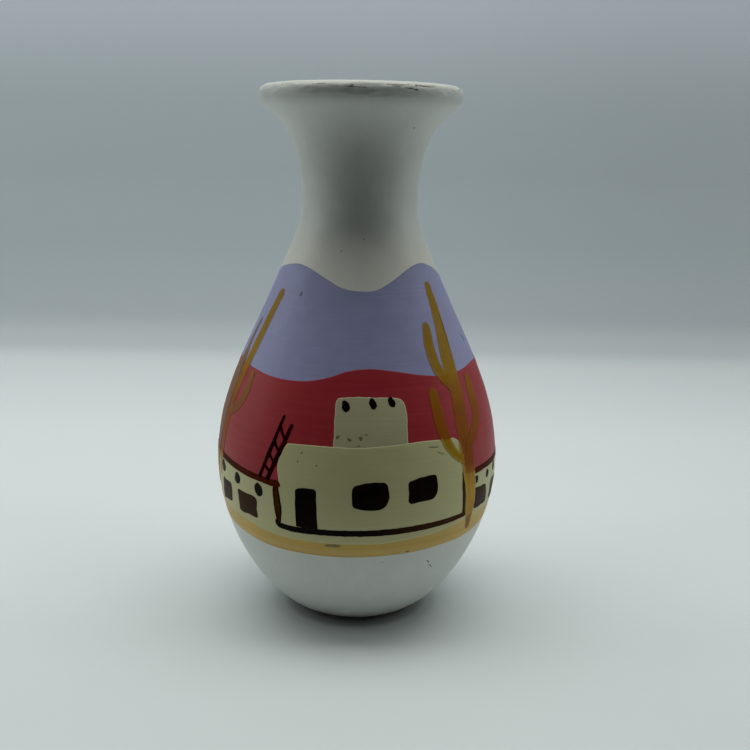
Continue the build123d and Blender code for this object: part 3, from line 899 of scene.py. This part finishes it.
# ---------------------------------------------------------------- the painted scene
SKY_EDGE = (
    (-162, 118.4), (-146, 122.2), (-133, 123.1), (-115, 121.2), (-95, 118.6), (-80, 120.6), (-62, 122.4),
    (-48, 123.0), (-38, 122.2), (-22, 119.3), (-9, 116.6), (2, 115.9), (12, 116.2), (21, 118.1), (34, 121.3),
    (43, 123.0), (53, 123.7), (67, 122.2), (84, 119.0), (97, 117.7), (112, 119.4), (128, 122.6), (140, 123.3),
    (156, 120.9), (172, 117.2),
)  # fmt: skip
MESA_EDGE = (
    (-165, 91.0), (-146, 89.0), (-128, 88.6), (-108, 90.6), (-87, 90.4), (-70, 90.0), (-55, 89.4),
    (-42, 88.5), (-31, 88.3), (-20, 88.9), (-12, 90.3), (-4, 92.2), (6, 93.0), (18, 92.1), (30, 90.5),
    (44, 89.3), (58, 89.7), (72, 90.5), (88, 90.2), (105, 91.6), (122, 90.0), (138, 88.9), (158, 91.4),
    (176, 92.4),
)  # fmt: skip
STRIPE_UP = (
    (-180, 39.6), (-140, 40.2), (-100, 41.6), (-66, 41.9), (-52, 41.2), (-44, 40.0), (-37, 38.9), (-19, 38.4),
    (0, 38.5), (13, 38.6), (19, 39.1), (26, 39.5), (35, 40.0), (42, 40.9), (48, 41.7), (56, 42.1), (67, 41.8),
    (90, 40.8), (130, 39.5),
)  # fmt: skip
STRIPE_LOW = (
    (-180, 34.6), (-140, 35.0), (-100, 35.6), (-66, 35.2), (-54, 34.4), (-40, 33.3), (-20, 33.1), (0, 33.2),
    (14, 33.5), (28, 33.8), (38, 34.2), (50, 34.3), (59, 34.8), (68, 35.4), (90, 36.0), (130, 35.0),
)  # fmt: skip
ROOF = (
    (-180, 58.2), (-150, 58.6), (-120, 58.4), (-92, 59.0), (-65, 58.6), (-53, 57.8), (-44, 57.1), (-38, 56.8),
    (-30, 56.4), (46.8, 57.4), (54, 57.4), (72, 57.3), (100, 57.8), (130, 58.3), (155, 57.9),
)  # fmt: skip


def band(low, high):
    """A closed outline all the way round between two lines of (angles, heights)."""
    top = np.stack(high, -1)
    bottom = np.stack(low, -1)
    left = np.linspace(bottom[0, 1], top[0, 1], 24)[1:-1]
    right = np.linspace(top[-1, 1], bottom[-1, 1], 24)[1:-1]
    assert abs(top[0, 1] - top[-1, 1]) < 1e-6 and abs(bottom[0, 1] - bottom[-1, 1]) < 1e-6
    up = np.stack([np.full(len(left), -180.0), left], -1)
    down = np.stack([np.full(len(right), 180.0), right], -1)
    return np.vstack([bottom[::-1], up, top, down])


def lowered(line, by):
    return line[0], line[1] - by


mesa_line = knot_line(MESA_EDGE)
sky_line = knot_line(SKY_EDGE)
up_line = knot_line(STRIPE_UP)
low_line = knot_line(STRIPE_LOW)
roof_line = knot_line(ROOF)

# The sky and the mesa each reach a little way down behind what is painted below them.
sky = film("coat_sky", band(lowered(mesa_line, 1.0), sky_line), FULL, 1.6, whole=True, tier=SKY)
keep(sky, "lavender_paint", "lavender_paint", "sky_coat")
mesa = film("coat_mesa", band(lowered(roof_line, 1.2), mesa_line), BRUSHED, 1.6, whole=True, tier=MESA)
keep(mesa, "rose_paint", "rose_paint", "mesa_coat")
stripe = film("stripe_ochre", band(low_line, up_line), BRUSHED, 1.6, whole=True)
keep(stripe, "ochre_paint", "ochre_paint", "ochre_stripe")

# The tower's coat, then the wall and house over its foot.
TOWER = (
    (-7.8, 68.0, 0.3), (-7.9, 78.0, 2), (-8.2, 84.6, 2.2), (4, 84.9, 3), (19.6, 84.4, 2.0), (21.4, 81.0, 2),
    (20.4, 68.0, 0.3),
)  # fmt: skip
tower = film("adobe_tower", shaky(rounded(TOWER), 0.25, 1), BRUSHED, 1.3)
keep(tower, "tower_paint", "cream_paint")

HOUSE_TOP = (
    (-24.8, 69.8), (-16.5, 70.0), (-7.8, 70.0), (2.5, 69.9), (11.5, 70.3), (20.3, 70.7), (27.7, 70.8),
    (35, 70.5), (41.4, 70.3),
)  # fmt: skip
LEFT_SIDE = (
    (-29.0, 56.6), (-29.3, 58.5), (-29.8, 60.9), (-29.7, 63.4), (-28.8, 66.1), (-26.6, 69.3), (-24.8, 69.8),
)  # fmt: skip
RIGHT_SIDE = ((41.4, 70.3), (44.2, 68.9), (45.9, 65.9), (46.6, 62.0), (46.9, 57.4))
house = [smooth_path(LEFT_SIDE)[:-1], smooth_path(HOUSE_TOP)[:-1], smooth_path(RIGHT_SIDE)]
roof_points = np.stack(roof_line, -1)
left_roof = roof_points[roof_points[:, 0] < -31.0]
right_roof = roof_points[roof_points[:, 0] > 47.8]
wall_bottom = np.stack(lowered(up_line, 0.2), -1)
side = np.linspace(wall_bottom[0, 1], roof_points[0, 1], 24)[1:-1]
up = np.stack([np.full(len(side), -180.0), side], -1)
down = np.stack([np.full(len(side), 180.0), side[::-1]], -1)
village = np.vstack([wall_bottom[::-1], up, left_roof, *house, right_roof, down])
adobe = film("coat_adobe", village, FULL, 1.5, whole=True, tier=ADOBE)
keep(adobe, "cream_paint", "cream_paint", "adobe_coat")


# ---------------------------------------------------------------- brown lines, openings and beams
def merge(name, objects):
    """Joins several films into one piece."""
    bpy.ops.object.select_all(action="DESELECT")
    for o in objects:
        o.select_set(True)
    bpy.context.view_layer.objects.active = objects[0]
    if len(objects) > 1:
        bpy.ops.object.join()
    objects[0].name = name
    objects[0].data.name = name
    return objects[0]


def strokes(name, rows, height, amount=0.12, **more):
    """One piece made of brush strokes: each row is its points, its widths and how faint it is."""
    made = []
    for i, (points, widths, *faint) in enumerate(rows):
        loop = shaky(stroke_loop(points, widths), amount, i + len(name), 1.6)
        made.append(film(f"{name}_{i}", loop, height, 0.9, faint=faint[0] if faint else 0.0, **more))
    return merge(name, made)


SILL = (
    (-30.2, 43.4), (-29.8, 42.4), (-26.5, 42.0), (-22, 41.8), (-13.5, 42.0), (0, 42.15), (12, 42.3),
    (28, 42.7), (38, 43.0), (48.2, 43.3),
)  # fmt: skip
COLUMN = ((-30.4, 56.0), (-30.3, 53.5), (-29.8, 50.0), (-29.6, 47.0), (-29.7, 43.8))
CORNER = ((45.7, 58.6), (46.0, 54.0), (46.8, 49.0), (47.6, 44.0))
outline = [(SILL, (2.0, 2.1, 2.1, 2.1, 2.2, 2.2, 2.1, 1.9, 1.6)), (CORNER, (0.7, 1.4, 1.5, 1.3))]
keep(strokes("house_lines", outline, BRUSHED), "line_paint", "umber_paint", "house_outline")
column = strokes("house_column", [(COLUMN, (1.8, 2.6, 2.9, 2.6, 1.6))], BRUSHED)
keep(column, "umber_paint", "umber_paint")

# The roof's edge runs on behind the vase, from the house's right corner round to its left one.
beyond = np.array([(a % 360, z) for a, z in zip(*roof_line) if not -31 < a < 51.5][::8])
beyond = beyond[beyond[:, 0].argsort()]
roof_row = [(51.3, 57.3)] + [tuple(p) for p in beyond[1:-1]] + [(330.4, 56.2)]
roof = strokes("roof_edge", [(roof_row, (1.9, 2.1, 2.0, 2.1, 2.0, 2.2, 2.1, 2.1))], BRUSHED)
keep(roof, "roof_paint", "brown_paint", "roof_line")

DOOR = ((-22.2, 43.0, 0.3), (-22.0, 55.9, 1.0), (-18, 56.5, 2), (-13.9, 56.5, 1.2), (-13.4, 43.0, 0.3))
door = film("door", shaky(rounded(DOOR), 0.15, 3), BRUSHED, 1.0)
keep(door, "dark_paint", "maroon_paint", "front_door")

LEFT_WINDOW = (
    (-0.6, 51.0, 1.6), (-0.6, 58.0, 1.6), (5.5, 59.3, 3), (12.4, 59.1, 1.8), (13.2, 53.6, 2.5),
    (11.0, 50.3, 2.4), (4.0, 50.1, 3),
)  # fmt: skip
RIGHT_WINDOW = (
    (20.4, 51.5, 1.2), (20.4, 58.8, 1.0), (26.9, 59.9, 3), (32.0, 60.0, 1.0), (33.0, 54.8, 2.5),
    (31.4, 52.0, 2.4), (26.0, 51.6, 3),
)  # fmt: skip
panes = []
for i, corners in enumerate((LEFT_WINDOW, RIGHT_WINDOW)):
    panes.append(film(f"w_{i}", shaky(rounded(corners), 0.2, 4 + i), BRUSHED, 1.0))
keep(merge("windows_front", panes), "dark_paint", "dark_paint", "front_windows")

# The low wall's windows: three listed one by one, the rest spaced evenly round the back.
WALL_PANES = [
    ((-68.3, 43.2), (-65.8, 51.3), (-56.7, 50.7), (-57.5, 44.2)),
    ((-52.0, 42.6), (-51.8, 50.4), (-40.1, 49.8), (-40.6, 42.5)),
    ((54.6, 43.6), (53.3, 51.2), (63.6, 50.6), (66.6, 43.4)),
]
for i in range(13):
    a = 70.6 + 16.2 * i
    jog = random.uniform(-0.5, 0.5)
    left = ((a, 43.2 + jog), (a - 0.4, 50.6 + jog))
    right = ((a + 10.4, 50.3 + jog * 0.6), (a + 10.9, 43.3 + jog))
    WALL_PANES.append(left + right)
panes = []
for i, pane in enumerate(WALL_PANES):
    loop = rounded([(a, z, 1.3) for a, z in pane])
    panes.append(film(f"p_{i}", shaky(loop, 0.35, 10 + i), THIN, 1.1))
keep(merge("windows_wall", panes), "brown_paint", "brown_paint", "wall_windows")


def oval(angle, z, width, tall, lean, count, step, taper=0.0, degree=None):
    """A leaning oval, width by tall mm; degree is the mm in one degree if not those at its height."""
    a = np.linspace(0, 2 * np.pi, count, endpoint=False)
    x = width / 2 * np.cos(a) * (1 - taper * np.sin(a))
    y = tall / 2 * np.sin(a)
    c, s = math.cos(math.radians(lean)), math.sin(math.radians(lean))
    degree = degree or math.radians(1) * float(radius(z))
    loop = np.stack([angle + (x * c - y * s) / degree, z + x * s + y * c], -1)
    return resample(loop, step)


def beams(name, seed, lean, places):
    """The leaf-shaped ends of a row of roof beams: (angle, height, width, height of the end)."""
    ends = []
    for i, (angle, z, width, tall) in enumerate(places, seed):
        loop = oval(angle, z, width, tall, lean, 20, 0.3, taper=0.15)
        ends.append(film(f"beam_{i}", shaky(loop, 0.25, i, 1.0), BRUSHED, 0.9))
    return merge(name, ends)


WALL_BEAMS = [
    (-64.8, 55.2, 3.4, 4.2),
    (-51.8, 54.0, 3.4, 3.8),
    (-38.8, 52.9, 3.6, 4.6),
    (54.5, 54.1, 2.2, 2.8),
    (64.4, 54.0, 2.3, 3.2),
]
WALL_BEAMS += [(73.3 + 12.3 * i, 54.3 + random.uniform(-0.4, 0.4), 2.5, 3.8) for i in range(18)]
TOWER_BEAMS = ((-3.9, 82.2, 2.5, 3.5), (7.3, 83.0, 2.2, 3.5), (15.2, 83.2, 2.2, 3.2))
keep(beams("beams_wall", 30, 16, WALL_BEAMS), "beam_paint", "umber_paint", "wall_beams")
keep(beams("beams_tower", 80, 17, TOWER_BEAMS), "beam_paint", "umber_paint", "tower_beams")

# ---------------------------------------------------------------- ladder
# Two rails, then the rungs, each with a slight sag.
rows = [
    (((-29.5, 77.5), (-33.1, 68.3), (-38.1, 57.6)), (1.0, 1.4, 1.2)),
    (((-25.5, 75.0), (-29.2, 67.0), (-34.2, 57.5)), (1.3, 1.6, 1.6)),
]
RUNGS = (
    ((-30.3, 74.4), (-28.1, 71.0)),
    ((-32.5, 70.2), (-30.4, 67.2)),
    ((-34.2, 65.8), (-31.8, 63.2)),
    ((-36.0, 61.7), (-33.6, 60.0)),
)
for a, b in RUNGS:
    middle = (0.5 * (a[0] + b[0]) - 0.15, 0.5 * (a[1] + b[1]))
    rows.append(((a, middle, b), (1.1, 1.0, 0.9)))
keep(strokes("ladder_strokes", rows, THIN), "maroon_paint", "maroon_paint", "ladder")

# ---------------------------------------------------------------- saguaros
RIGHT_TRUNK = (
    (53.3, 116.4), (53.0, 112), (52.0, 105.7), (49.8, 95.7), (48.9, 89.5), (48.9, 83.7), (48.3, 77.1),
    (48.2, 70.2), (49.2, 59.3), (50.7, 51.4), (51.7, 43.9), (53.0, 37.8),
)  # fmt: skip
LEFT_TRUNK = (
    (-57.6, 112.8), (-59.4, 108), (-61.0, 102.4), (-62.2, 97.2), (-63.6, 91.6), (-65.0, 86.2), (-66.4, 80),
    (-67.0, 74.5), (-67.6, 67.0), (-68.6, 59.0), (-69.4, 52.0),
)  # fmt: skip
# The broad thin haze to the left of the left saguaro.
HAZE = (
    (-71.5, 92.5), (-73.8, 85.5), (-75.6, 78.0), (-76.4, 70.0), (-76.4, 62.0), (-75.6, 54.0), (-74.8, 48.0),
)  # fmt: skip
# One long low arm of the right saguaro, the small arm of the left one and the trunk at the back.
LOW_ARM = ((35.1, 84.7), (35.4, 80.2), (36.0, 75.3), (38.0, 69.8), (41.2, 65.6), (46.0, 62.4))
SMALL_ARM = ((-55.4, 87.5), (-55.4, 83.5), (-56.6, 79.5), (-59.5, 76.5), (-64.0, 74.4))
BACK_TRUNK = ((176.6, 115), (176.2, 106), (175.4, 96), (174.6, 84), (174.6, 72), (175.2, 60))
right_rows = [
    (RIGHT_TRUNK, (3.2, 4.4, 5.2, 6.6, 6.6, 6.2, 6.6, 7.2, 6.4, 5.6, 5.0, 2.4)),
    (((40.9, 104.3), (39.5, 99.2), (39.9, 93.9), (42.4, 89.4), (47.0, 85.4)), (3.3, 4.2, 4.4, 4.2, 3.6)),
    (LOW_ARM, (3.4, 4.4, 4.6, 4.2, 3.6, 2.8)),
    (((60.6, 86.3), (59.8, 80.8), (59.4, 75), (55.6, 70.5), (50.2, 66.5)), (3.6, 5.0, 5.0, 4.6, 3.6)),
]
left_rows = [
    (LEFT_TRUNK, (3.8, 4.2, 4.6, 4.8, 5.2, 5.4, 5.4, 5.2, 4.6, 3.8, 2.4)),
    (((-71.2, 103.4), (-72.2, 97.4), (-72.0, 91.6), (-68.6, 86.4)), (2.2, 2.8, 3.0, 2.6), 0.85),
    (SMALL_ARM, (2.8, 3.6, 3.8, 3.6, 3.0), 0.25),
    (HAZE, (4.0, 8.5, 11.0, 11.0, 9.0, 6.0, 2.5), 0.7),
]
back_rows = [
    (BACK_TRUNK, (2.6, 4.0, 4.8, 5.4, 5.6, 3.0)),
    (((164.0, 103), (163.0, 96), (165.0, 89), (171.4, 84.5)), (2.8, 3.8, 3.8, 3.2)),
    (((186.4, 93), (187.2, 85), (185.0, 77), (178.0, 72)), (2.8, 4.0, 4.0, 3.2)),
]
for name, rows, node_name in (
    ("saguaro_r", right_rows, "saguaro_right"),
    ("saguaro_l", left_rows, "saguaro_left"),
    ("saguaro_b", back_rows, "saguaro_back"),
):
    saguaro = strokes(name, rows, THIN, 0.22, bead=0.2, tier=CACTUS)
    keep(saguaro, "golden_paint", "golden_paint", node_name)

# ---------------------------------------------------------------- wear
# Small dabs where the paint is scuffed: (angle, height, width, height of dab, lean).
SCUFFS = (
    (-8.0, 37.4, 5.4, 1.0, 2), (22.0, 34.3, 1.6, 0.5, 0), (43.2, 166.6, 0.5, 0.5, 0),
    (4.7, 131.8, 0.4, 0.4, 0), (-13.5, 128.0, 0.5, 0.35, 10), (-6.5, 73.0, 1.5, 1.0, 40),
    (-2.0, 72.4, 1.4, 0.8, -30), (2.4, 72.8, 1.2, 1.3, 60), (4.6, 73.9, 0.9, 0.5, 20),
    (1.6, 70.6, 0.7, 0.5, 0), (31.5, 68.6, 4.6, 0.35, -8), (34.5, 66.4, 3.6, 0.3, -24),
    (-20.0, 67.4, 1.0, 0.5, 50), (-21.5, 64.6, 0.6, 0.6, 0), (-14.0, 64.0, 0.7, 0.4, 30),
    (12.0, 31.0, 0.5, 0.4, 0),
)  # fmt: skip
marks = []
for i, (angle, z, width, tall, lean) in enumerate(SCUFFS):
    loop = shaky(oval(angle, z, width, tall, lean, 14, 0.16), 0.2 * tall, 60 + i, 0.7)
    marks.append(film(f"mark_{i}", loop, SCUFFED, 0.6, bead=0.0))
keep(merge("wear_marks", marks), "scuff_paint", "umber_paint")

# Chips along the rim of the lip: three at the front, the rest anywhere round it.
spots = [(-10.5, 178.0, 0.8, 0.2), (30.9, 177.5, 0.55, 0.26), (27.5, 178.0, 0.8, 0.1)]
for _ in range(13):
    angle, z = random.uniform(-180, 180), random.uniform(178.4, 179.2)
    spots.append((angle, z, random.uniform(0.2, 0.7), random.uniform(0.1, 0.18)))
RIM_DEGREE = math.radians(1) * 32
chips = []
for i, (angle, z, half_width, half_height) in enumerate(spots):
    loop = oval(angle, z, 2 * half_width, 2 * half_height, 0, 12, 0.14, degree=RIM_DEGREE)
    chips.append(film(f"chip_{i}", shaky(loop, 0.10, 90 + i, 0.5), CHIPPED, 0.5, bead=0.0))
keep(merge("wear_lip", chips), "chip_paint", "umber_paint")

# Scratches and hairlines, then tan strokes along the rim: each is its points and its widths.
scratches = [
    (((54.9, 107.4), (54.8, 103.4), (54.3, 100.0), (53.8, 95.8)), (0.14, 0.35, 0.3, 0.14)),
    (((73.0, 99.4), (74.6, 98.2), (74.6, 97.0)), (0.2, 0.42, 0.28)),
    (((-13.0, 178.3), (-4.0, 177.9), (4.0, 177.6)), (0.1, 0.18, 0.1)),
    (((17.0, 178.4), (25.0, 177.9), (31.0, 177.5)), (0.1, 0.18, 0.1)),
    (((-39.0, 114.6), (-37.4, 113.4)), (0.15, 0.2)),
    (((-37.5, 114.7), (-38.9, 113.3)), (0.15, 0.2)),
    (((32.8, 28.8), (33.8, 28.3), (34.6, 27.4)), (0.2, 0.4, 0.2)),
    (((34.6, 26.6), (35.8, 26.3), (37.2, 25.2)), (0.15, 0.3, 0.2)),
]
keep(strokes("wear_scratches", scratches, SCUFFED, 0.05, bead=0.0), "scratch_paint", "dark_paint")
rim = [
    (((14.0, 178.85), (20.0, 178.8), (26.5, 178.9)), (0.1, 0.28, 0.12)),
    (((31.0, 179.0), (39.0, 178.8), (47.0, 178.9)), (0.15, 0.5, 0.2)),
    (((48.5, 178.6), (56.0, 178.4), (65.0, 178.2)), (0.2, 0.55, 0.2)),
    (((-28.0, 178.9), (-23.0, 178.8), (-18.0, 178.9)), (0.1, 0.2, 0.1)),
]
keep(strokes("wear_rim", rim, SCUFFED, 0.08, bead=0.0), "tan_paint", "ochre_paint")
